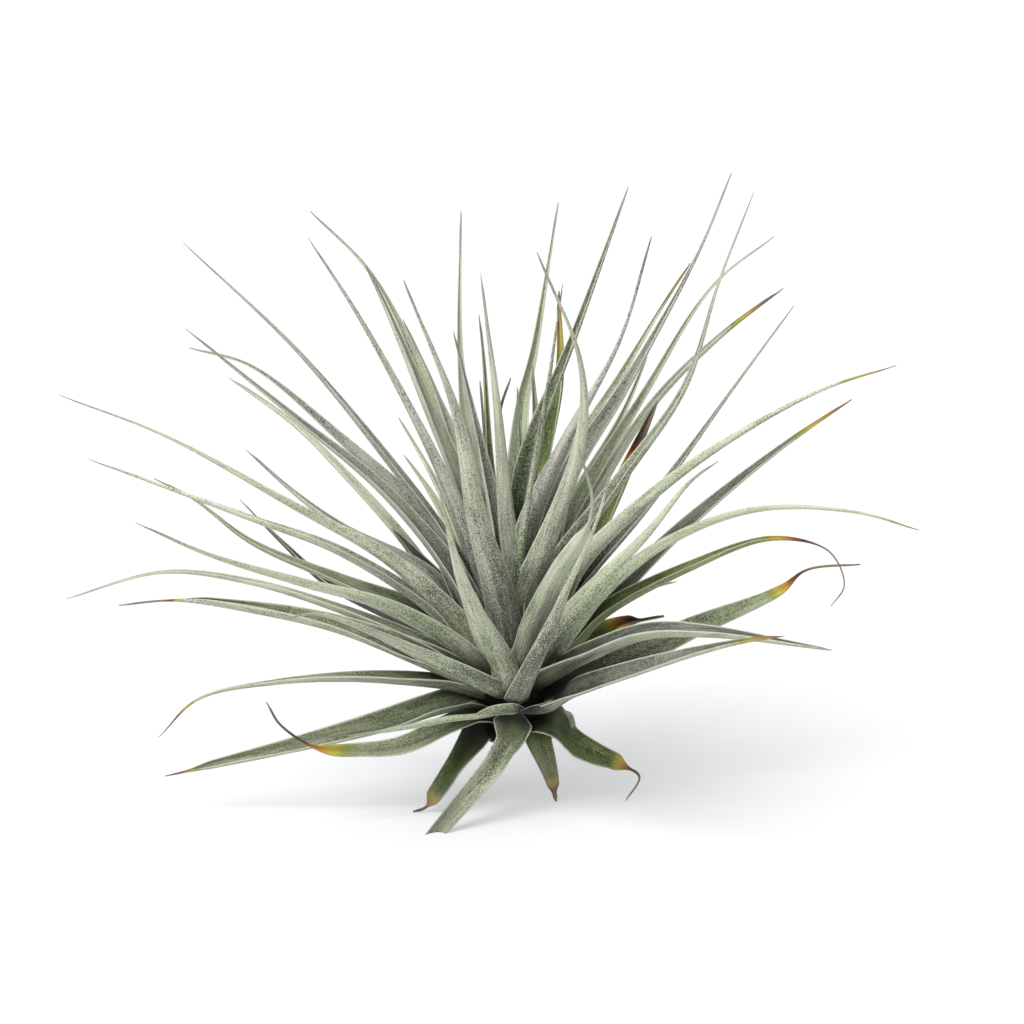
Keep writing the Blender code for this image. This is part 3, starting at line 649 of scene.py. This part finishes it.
def finish_values(data, length, look, seed):
    """What the finish reads at each vertex: its place on the blade, its age, and its reach, with the
    distance along scaled by look.lit for the painted shade among the leaf bases.
    """
    along, across, share, u, face = data.T
    offset = (seed * SEED_STEP) % SEED_SPAN
    dry = (share - look.yellow) / max(look.brown - look.yellow, 0.01)
    place = np.stack([along + offset, across + 3 * face, np.full_like(u, offset)], axis=1)
    life = np.stack([np.clip(dry, -1, 4), share, u], axis=1)
    reach = np.stack([along * look.lit, length - along, face], axis=1)
    return place, life, reach


def add_piece(name, mesh, node):
    mesh.polygons.foreach_set("use_smooth", [True] * len(mesh.polygons))
    mesh.update()
    obj = bpy.data.objects.new(name, mesh)
    bpy.context.scene.collection.objects.link(obj)
    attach(obj, "root")
    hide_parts(node)


def add_blades(name, parts, node, materials):
    """One piece from leaves made by blade_arrays, each with its own material."""
    verts, faces, values, mats = [], [], [], []
    base = 0
    for points, around, width, look, seed in parts:
        v, f, data, length = blade_arrays(points, around, width, look, seed)
        v = v + PLANT
        v[:, 2] = np.maximum(v[:, 2], 0.0)
        verts.append(v)
        faces += [tuple(base + i for i in face) for face in f]
        base += len(v)
        values.append(finish_values(data, length, look, seed))
        mats += [look.tone] * len(f)
    mesh = bpy.data.meshes.new(name)
    mesh.from_pydata((np.concatenate(verts) * MM).tolist(), [], faces)
    for layer, rows in zip(("place", "life", "reach"), zip(*values)):
        add_values(mesh, layer, rows)
    tones = sorted(set(mats))
    for tone in tones:
        mesh.materials.append(materials[tone])
    mesh.polygons.foreach_set("material_index", [tones.index(m) for m in mats])
    add_piece(name, mesh, node)


class Graph:
    """A short way to write a material's nodes."""

    def __init__(self, name):
        self.material = bpy.data.materials.new(name)
        self.material.use_nodes = True
        self.tree = self.material.node_tree
        self.shader = self.tree.nodes["Principled BSDF"]

    def put(self, socket, value):
        if isinstance(value, bpy.types.NodeSocket):
            self.tree.links.new(value, socket)
        elif value is not None:
            if socket.type == "RGBA" and len(value) == 3:
                value = (*value, 1.0)
            socket.default_value = value

    def node(self, kind, inputs=(), out=0, **settings):
        node = self.tree.nodes.new(kind)
        for key, value in settings.items():
            setattr(node, key, value)
        for key, value in dict(inputs).items():
            self.put(node.inputs[key], value)
        return node.outputs[out]

    def math(self, operation, a, b=None, c=None, clamp=False):
        node = self.tree.nodes.new("ShaderNodeMath")
        node.operation = operation
        node.use_clamp = clamp
        for socket, value in zip(node.inputs, (a, b, c)):
            self.put(socket, value)
        return node.outputs[0]

    def times(self, a, b):
        return self.math("MULTIPLY", a, b)

    def plus(self, a, b):
        return self.math("ADD", a, b)

    def mix(self, share, a, b, blend="MIX"):
        node = self.tree.nodes.new("ShaderNodeMix")
        node.data_type = "RGBA"
        node.blend_type = blend
        self.put(node.inputs[0], share)
        self.put(node.inputs[6], a)
        self.put(node.inputs[7], b)
        return node.outputs[2]

    def dimmed(self, colour, level):
        """The colour times a number."""
        grey = self.node("ShaderNodeCombineXYZ", {0: level, 1: level, 2: level})
        return self.mix(1.0, colour, grey, "MULTIPLY")

    def ramp(self, value, stops):
        node = self.tree.nodes.new("ShaderNodeValToRGB")
        ramp = node.color_ramp
        while len(ramp.elements) < len(stops):
            ramp.elements.new(0.5)
        for element, (at, colour) in zip(ramp.elements, stops):
            element.position = at
            element.color = (*colour, 1.0)
        self.put(node.inputs[0], value)
        return node.outputs[0]

    def window(self, value, low, high):
        """0 below low, 1 above high, and smooth between."""
        return self.node(
            "ShaderNodeMapRange",
            {0: value, 1: low, 2: high, 3: 0.0, 4: 1.0},
            interpolation_type="SMOOTHSTEP",
        )

    def noise(self, vector, repeats, detail=2.0, roughness=0.5):
        """Noise with this many repeats for each unit along and across."""
        stretched = self.node(
            "ShaderNodeVectorMath",
            {0: vector, 1: (*repeats, 1.0)},
            operation="MULTIPLY",
        )
        return self.node(
            "ShaderNodeTexNoise",
            {"Vector": stretched, "Scale": 1.0, "Detail": detail, "Roughness": roughness,
             "Distortion": 0.0},
        )

    def between(self, share, low, high):
        """A number that goes from low to high with the share."""
        return self.math("MULTIPLY_ADD", share, high - low, low)

    def parts(self, name):
        """The three numbers that a vertex attribute holds."""
        whole = self.node("ShaderNodeAttribute", attribute_name=name, out=1)
        return self.node("ShaderNodeSeparateXYZ", {0: whole}).node.outputs


# The finish's tones. Each face of a blade has bare flesh, deeper flesh in blotches, and scales,
# first on the lower face, then on the inner one. cover: how much scales cover on each.
# streaks: how strong the dark dashes are. The inner face's tones are darker than the lower face's:
# partly its own greener colour, partly painted shade inside the gutter.
Tone = namedtuple("Tone", "deep flesh scales inner_deep inner_flesh inner_scales cover inner_cover streaks")
TONES = {
    "silver": Tone((0.09, 0.105, 0.06), (0.16, 0.18, 0.115), (0.594, 0.627, 0.495),
                   (0.04, 0.05, 0.025), (0.1, 0.12, 0.065), (0.55, 0.583, 0.462), 0.74, 0.7, 0.3),
    "pale": Tone((0.11, 0.13, 0.075), (0.19, 0.22, 0.14), (0.627, 0.671, 0.506),
                 (0.06, 0.08, 0.04), (0.12, 0.15, 0.08), (0.572, 0.616, 0.473), 0.8, 0.72, 0.2),
    "speckled": Tone((0.08, 0.09, 0.06), (0.15, 0.165, 0.115), (0.66, 0.682, 0.55),
                     (0.04, 0.05, 0.025), (0.1, 0.115, 0.07), (0.616, 0.638, 0.517), 0.7, 0.68, 0.25),
    "mauve": Tone((0.08, 0.08, 0.067), (0.15, 0.148, 0.125), (0.528, 0.522, 0.462),
                  (0.045, 0.045, 0.035), (0.11, 0.11, 0.09), (0.495, 0.49, 0.435), 0.74, 0.68, 0.4),
    "lined": Tone((0.08, 0.095, 0.05), (0.15, 0.17, 0.1), (0.52, 0.55, 0.42),
                  (0.04, 0.055, 0.025), (0.10, 0.125, 0.06), (0.38, 0.41, 0.29), 0.74, 0.62, 0.6),
    "streaked": Tone((0.06, 0.07, 0.04), (0.12, 0.14, 0.08), (0.54, 0.56, 0.45),
                     (0.035, 0.04, 0.03), (0.085, 0.09, 0.07), (0.33, 0.335, 0.29), 0.7, 0.55, 1.0),
    "cut": Tone((0.07, 0.10, 0.03), (0.13, 0.17, 0.065), (0.46, 0.49, 0.35),
                (0.05, 0.075, 0.02), (0.13, 0.165, 0.07), (0.47, 0.49, 0.37), 0.7, 0.72, 1.8),
    "olive": Tone((0.07, 0.09, 0.035), (0.13, 0.165, 0.07), (0.42, 0.46, 0.31),
                  (0.05, 0.07, 0.02), (0.12, 0.155, 0.06), (0.44, 0.48, 0.33), 0.66, 0.64, 0.4),
    "green": Tone((0.05, 0.08, 0.014), (0.11, 0.155, 0.03), (0.42, 0.46, 0.26),
                  (0.035, 0.065, 0.008), (0.10, 0.15, 0.022), (0.38, 0.42, 0.20), 0.56, 0.48, 0.4),
    "frosted": Tone((0.04, 0.065, 0.02), (0.085, 0.125, 0.045), (0.60, 0.65, 0.50),
                    (0.03, 0.05, 0.015), (0.075, 0.11, 0.04), (0.58, 0.63, 0.48), 0.52, 0.5, 0.6),
    "husk": Tone((0.30, 0.26, 0.12), (0.52, 0.48, 0.28), (0.78, 0.75, 0.58),
                 (0.25, 0.22, 0.10), (0.45, 0.42, 0.24), (0.70, 0.67, 0.50), 0.8, 0.8, 0.3),
    # dark: painted shade, near-black blades for leaves that lie in shadow behind others.
    "dark": Tone((0.02, 0.018, 0.014), (0.04, 0.036, 0.03), (0.15, 0.14, 0.12),
                 (0.015, 0.013, 0.01), (0.03, 0.027, 0.022), (0.11, 0.10, 0.085), 0.42, 0.36, 0.5),
}

# A leaf that dries turns yellow, orange, brown, nearly black and then straw-coloured.
DRYING = [
    (0.0, (0.24, 0.27, 0.07)), (0.2, (0.50, 0.42, 0.07)), (0.36, (0.50, 0.24, 0.04)),
    (0.5, (0.22, 0.06, 0.02)), (0.66, (0.06, 0.03, 0.02)), (1.0, (0.27, 0.18, 0.10)),
]
DRYING_SPAN = 0.4
# Pale rims: partly the margins' own paler colour, partly a painted highlight.
RIM_AND_HIGHLIGHT_COLOUR = (0.66, 0.68, 0.56)
DASH_COLOUR = (0.035, 0.035, 0.03)
THREAD_COLOUR = (0.20, 0.19, 0.15)
GREEN_HUE = (0.955, 1.0, 0.875)
MAUVE_HUE = (1.0, 0.955, 0.96)
HUE_SHARE = 0.8

# Noises of the finish: their repeats in a millimetre along and across the blade.
BLOTCHES = (0.09, 0.4)
HUE_PATCHES = (0.035, 0.42)
FINE_LINES = (0.12, 3.6)
GRAINS = (3.2, 4.0)
SPECKS = (6.2, 6.8)
STRANDS = (0.06, 1.5)
TATTERS = (0.5, 2.2)

# Scales: what the noises and the crease weigh, the level at which scales start on a blade with no
# cover, what cover takes off it, what the base and its gutter add, and how soft their edges are.
# The fewer scales towards the base and inside its gutter are partly the leaf's own colour and
# partly painted shade.
GRAIN_WEIGHT = 0.62
LINE_WEIGHT = 0.28
BLOTCH_WEIGHT = 0.25
CREASE_WEIGHT = 0.03
BARE_LEVEL = 0.765
COVER_WEIGHT = -0.36
BASE_LOSS = 0.15
GUTTER_LOSS = 0.2
SCALE_SOFTNESS = 0.09
LEAST_COVERED = 0.05

# How light the strands are, how strong the dashes are, and their share of that on the lower face.
STRAND_LEVELS = (0.85, 1.05)
DASH_STRENGTH = 0.85
OUTER_DASHES = 0.3

# Pale rims, partly the margins' own paler colour and partly a painted highlight, and how far they
# are spared the painted shade among the leaf bases. That painted shade is darkest at a blade's
# start and lifts over two spans: from and to so many millimetres, by this much. The inside of its
# gutter gets more painted shade.
RIM_STRENGTH = 0.85
RIM_SPARED = 0.4
DARKEST = 0.05
LIGHTING_UP = ((4.0, 14.0, 0.76), (12.0, 40.0, 0.2))
GUTTER_SHADE = -0.2

# How ragged a drying end is, and how grey a blade's last millimetres are.
RAGGED = 0.9
THREAD_GREY = 0.55


def blade_spot(g):
    """What the finish knows of a point on a blade, and the noises that it shares."""
    place = g.node("ShaderNodeAttribute", attribute_name="place", out=1)
    dry, share, across = g.parts("life")
    along, left, face = g.parts("reach")
    grain = g.noise(place, GRAINS, 2.0, 0.65)
    speck = g.noise(place, SPECKS, 1.0, 0.5)
    return SimpleNamespace(
        place=place, dry=dry, share=share, along=along, left=left, speck=speck,
        edge=g.math("ABSOLUTE", across),
        inner=g.window(face, -0.2, 0.3),
        blotch=g.noise(place, BLOTCHES, 3.0, 0.6),
        lines=g.noise(place, FINE_LINES, 4.0, 0.65),
        grainy=g.plus(g.times(grain, GRAIN_WEIGHT), g.times(speck, GRAIN_WEIGHT)),
    )


def scale_cover(g, tone, spot):
    """1 where scales hide the flesh: in grains, lines and blotches, and fewer near the base and in
    its gutter, partly as painted shade.
    """
    lines, blotch = (g.math("SUBTRACT", noise, 0.5) for noise in (spot.lines, spot.blotch))
    level = g.plus(spot.grainy, g.times(lines, LINE_WEIGHT))
    level = g.plus(level, g.times(blotch, BLOTCH_WEIGHT))
    level = g.math("SUBTRACT", level, g.times(g.window(spot.edge, 0.2, 0.0), CREASE_WEIGHT))
    cover = g.between(spot.inner, tone.cover, tone.inner_cover)
    low = g.math("MULTIPLY_ADD", cover, COVER_WEIGHT, BARE_LEVEL)
    low = g.math("MULTIPLY_ADD", g.window(spot.share, 0.6, 0.03), BASE_LOSS, low)
    bare = g.times(g.window(spot.along, 24.0, 6.0), g.window(spot.edge, 0.85, 0.35))
    low = g.math("MULTIPLY_ADD", g.times(bare, spot.inner), GUTTER_LOSS, low)
    return g.window(level, low, g.plus(low, SCALE_SOFTNESS))


def living_colour(g, tone, spot):
    """Flesh under scales, in strands and hues, with dark dashes along the blade."""
    deep = g.mix(spot.inner, tone.deep, tone.inner_deep)
    flesh = g.mix(spot.inner, tone.flesh, tone.inner_flesh)
    scales = g.mix(spot.inner, tone.scales, tone.inner_scales)
    flesh = g.mix(g.window(spot.blotch, 0.35, 0.65), deep, flesh)
    covered = g.between(scale_cover(g, tone, spot), LEAST_COVERED, 1.0)
    colour = g.mix(covered, flesh, scales)
    strands = g.window(g.noise(spot.place, STRANDS, 3.0, 0.6), 0.4, 0.6)
    colour = g.dimmed(colour, g.between(strands, *STRAND_LEVELS))
    patch = g.window(g.noise(spot.place, HUE_PATCHES, 2.0, 0.5), 0.42, 0.58)
    colour = g.mix(HUE_SHARE, colour, g.mix(patch, GREEN_HUE, MAUVE_HUE), "MULTIPLY")
    dashes = g.times(g.window(spot.lines, 0.56, 0.68), g.window(spot.edge, 0.75, 0.2))
    dashes = g.times(dashes, g.between(spot.inner, OUTER_DASHES * tone.streaks, tone.streaks))
    return g.mix(g.times(dashes, DASH_STRENGTH), colour, DASH_COLOUR)


def dried(g, colour, spot):
    """The colour, with its dry end, and greyer where the blade is a thread."""
    tatter = g.math("SUBTRACT", g.noise(spot.place, TATTERS, 3.0), 0.5)
    ragged = g.math("MULTIPLY_ADD", tatter, RAGGED, spot.dry)
    tip = g.ramp(g.math("MULTIPLY", ragged, DRYING_SPAN, clamp=True), DRYING)
    colour = g.mix(g.window(ragged, -0.25, 0.2), colour, tip)
    return g.mix(g.times(g.window(spot.left, 16.0, 2.0), THREAD_GREY), colour, THREAD_COLOUR)


def shaded(g, colour, spot, pale_rim_and_highlight):
    """The colour with painted shade: dark among the leaf bases, less so on rims, and darker
    inside the gutter.
    """
    shade = DARKEST
    for start, end, gain in LIGHTING_UP:
        shade = g.math("MULTIPLY_ADD", g.window(spot.along, start, end), gain, shade)
    spared = g.times(g.math("SUBTRACT", 1.0, shade), g.times(pale_rim_and_highlight, RIM_SPARED))
    colour = g.dimmed(colour, g.plus(shade, spared))
    within = g.times(g.times(spot.inner, g.window(spot.share, 0.75, 0.2)), GUTTER_SHADE)
    within = g.plus(1.0, g.times(within, g.window(spot.edge, 0.96, 0.8)))
    return g.dimmed(colour, within)


def leaf_material(name):
    """A leaf's finish: green flesh under rows of pale scales, fine lines, a drying tip, pale rims
    partly with a painted highlight, and painted shade among the leaf bases.

    The upper face, inside the gutter, is darker and more streaked than the lower one: partly its
    own colour, partly painted shade."""
    g = Graph("leaf_" + name)
    spot = blade_spot(g)
    colour = living_colour(g, TONES[name], spot)
    # Pale rims along the margins: partly their own paler colour, partly a painted highlight.
    pale_rim_and_highlight = g.times(g.window(spot.edge, 0.91, 0.98), g.window(spot.speck, 0.25, 0.45))
    colour = g.mix(g.times(pale_rim_and_highlight, RIM_STRENGTH), colour, RIM_AND_HIGHLIGHT_COLOUR)
    colour = shaded(g, dried(g, colour, spot), spot, pale_rim_and_highlight)
    g.put(g.shader.inputs["Base Color"], colour)
    g.put(g.shader.inputs["Roughness"], g.math("SUBTRACT", 0.8, g.times(spot.lines, 0.2)))
    g.shader.inputs["Specular IOR Level"].default_value = 0.3
    g.shader.inputs["Sheen Weight"].default_value = 0.08
    g.shader.inputs["Sheen Roughness"].default_value = 0.5
    height = g.plus(g.times(spot.lines, 0.7), g.times(spot.grainy, 0.8))
    bump = g.node("ShaderNodeBump", {"Height": height, "Strength": 0.8, "Distance": 0.0002})
    g.put(g.shader.inputs["Normal"], bump)
    return g.material


def stem_radius(height):
    """A ball inside the leaf sheaths, over the stub."""
    ball = math.sqrt(max(CORE_REACH**2 - (height - HEAD_HEIGHT) ** 2, 0.0))
    return max(ball, STUB_RADIUS * STUB_SHARE) if height < HEAD_HEIGHT else ball


def stem_row(height, phases):
    """A ring of points round the stem, uneven all round."""
    row = []
    for k in range(CORE_SIDES):
        a = 2 * math.pi * k / CORE_SIDES
        rough = 0.0
        for (waves, depth, twist), phase in zip(CORE_WAVES, phases):
            rough += depth * math.sin(waves * a + phase + twist * height)
        r = max(stem_radius(height) * (1 + rough), 0.05)
        row.append(((r * math.cos(a) + PLANT[0]) * MM, (r * math.sin(a) + PLANT[1]) * MM, height * MM))
    return row


def add_stem():
    """The stem under its leaf sheaths: a dark core, near-black with painted shade, with a fibrous
    stub, uneven all round.
    """
    rand = random.Random(5)
    phases = [rand.uniform(0, 6.28) for _ in CORE_WAVES]
    top = HEAD_HEIGHT + CORE_REACH
    verts, faces = [], []
    for row in range(CORE_ROWS):
        verts += stem_row(STUB_BOTTOM + (top - STUB_BOTTOM) * row / (CORE_ROWS - 1), phases)
    for row in range(CORE_ROWS - 1):
        low, high = row * CORE_SIDES, (row + 1) * CORE_SIDES
        for k in range(CORE_SIDES):
            j = (k + 1) % CORE_SIDES
            faces.append((low + k, low + j, high + j, high + k))
    faces.append(tuple(range(CORE_SIDES))[::-1])
    faces.append(tuple((CORE_ROWS - 1) * CORE_SIDES + k for k in range(CORE_SIDES)))
    mesh = bpy.data.meshes.new("stem_core")
    mesh.from_pydata(verts, [], faces)
    mesh.materials.append(stem_material())
    add_piece("stem_core", mesh, "stem")


def stem_material():
    g = Graph("stem_bark")
    where = g.node("ShaderNodeTexCoord", out=3)
    fibres = g.noise(where, BARK_FIBRES, 4.0, 0.6)
    g.put(g.shader.inputs["Base Color"], g.ramp(fibres, BARK_AND_SHADE_COLOURS))
    g.shader.inputs["Roughness"].default_value = 0.9
    g.shader.inputs["Specular IOR Level"].default_value = 0.05
    bump = g.node("ShaderNodeBump", {"Height": fibres, "Strength": 0.8, "Distance": 0.0005})
    g.put(g.shader.inputs["Normal"], bump)
    return g.material


def add_heart(materials):
    """The heart's leaves, all in one piece."""
    parts = []
    for seed, leaf in enumerate(HEART_LEAVES, HEART_SEED):
        route = heart_route(leaf)
        away = route[3] - route[0]
        look = leaf.look._replace(lit=INNER_LIT if leaf.look.tone in INNER_TONES else HEART_LIT)
        parts.append((route, math.atan2(away[1], away[0]), leaf.width, look, seed))
    add_blades("blades_heart", parts, "heart", materials)


def add_leaves(materials):
    for seed, leaf in enumerate(LEAVES, FRONT_SEED):
        parts = [(front_route(leaf), math.radians(leaf.root[0]), leaf.width, leaf.look, seed)]
        add_blades("blade_" + leaf.name, parts, leaf.name, materials)
    for number, leaf in enumerate(REAR_LEAVES):
        look = Look(REAR_TONES[number % len(REAR_TONES)])
        seed = REAR_SEED + number
        parts = [(rear_route(leaf), math.radians(leaf.root[0]), leaf.width, look, seed)]
        add_blades("blade_" + leaf.name, parts, leaf.name, materials)
    parts = [(front_route(HUSK), math.radians(HUSK.root[0]), HUSK.width, HUSK.look, HUSK_SEED)]
    add_blades("blade_husk", parts, "stem", materials)


def add_floor():
    g = Graph("floor_white")
    g.shader.inputs["Base Color"].default_value = FLOOR_COLOUR
    g.shader.inputs["Emission Color"].default_value = SKY_COLOUR
    g.shader.inputs["Emission Strength"].default_value = FLOOR_GLOW
    g.shader.inputs["Roughness"].default_value = 0.8
    g.shader.inputs["Specular IOR Level"].default_value = 0.1
    corners = [(-1, -1), (1, -1), (1, 1), (-1, 1)]
    mesh = bpy.data.meshes.new("floor")
    mesh.from_pydata([(FLOOR_REACH * x, FLOOR_REACH * y, 0) for x, y in corners], [], [(0, 1, 2, 3)])
    mesh.materials.append(g.material)
    floor = bpy.data.objects.new("floor", mesh)
    bpy.context.scene.collection.objects.link(floor)


def add_sun(name, towards, strength, spread):
    light = bpy.data.lights.new(name, "SUN")
    light.energy = strength
    light.angle = math.radians(spread)
    obj = bpy.data.objects.new(name, light)
    obj.rotation_euler = Vector(towards).to_track_quat("-Z", "Y").to_euler()
    bpy.context.scene.collection.objects.link(obj)


def add_light():
    for sun in SUNS:
        add_sun(*sun)
    world = bpy.data.worlds.new("studio")
    bpy.context.scene.world = world
    world.use_nodes = True
    background = world.node_tree.nodes["Background"]
    background.inputs[0].default_value = SKY_COLOUR
    background.inputs[1].default_value = SKY_STRENGTH


def add_camera():
    up, along = math.cos(VIEW_TILT), math.sin(VIEW_TILT)
    target = np.array([VIEW_MIDDLE[0], VIEW_MIDDLE[1] * along, VIEW_MIDDLE[1] * up]) + PLANT
    ahead = np.array([0.0, up, -along])
    lens = bpy.data.cameras.new("camera")
    lens.sensor_fit = "HORIZONTAL"
    lens.sensor_width = SENSOR
    lens.lens = SENSOR * VIEW_DISTANCE / VIEW_WIDTH
    lens.clip_start = 0.01
    camera = bpy.data.objects.new("camera", lens)
    camera.location = Vector((target - ahead * VIEW_DISTANCE) * MM)
    camera.rotation_euler = Vector(ahead).to_track_quat("-Z", "Y").to_euler()
    bpy.context.scene.collection.objects.link(camera)
    bpy.context.scene.camera = camera


materials = {tone: leaf_material(tone) for tone in TONES}
add_stem()
add_leaves(materials)
add_heart(materials)
add_floor()
add_light()
add_camera()
bpy.context.scene.view_settings.view_transform = "Standard"
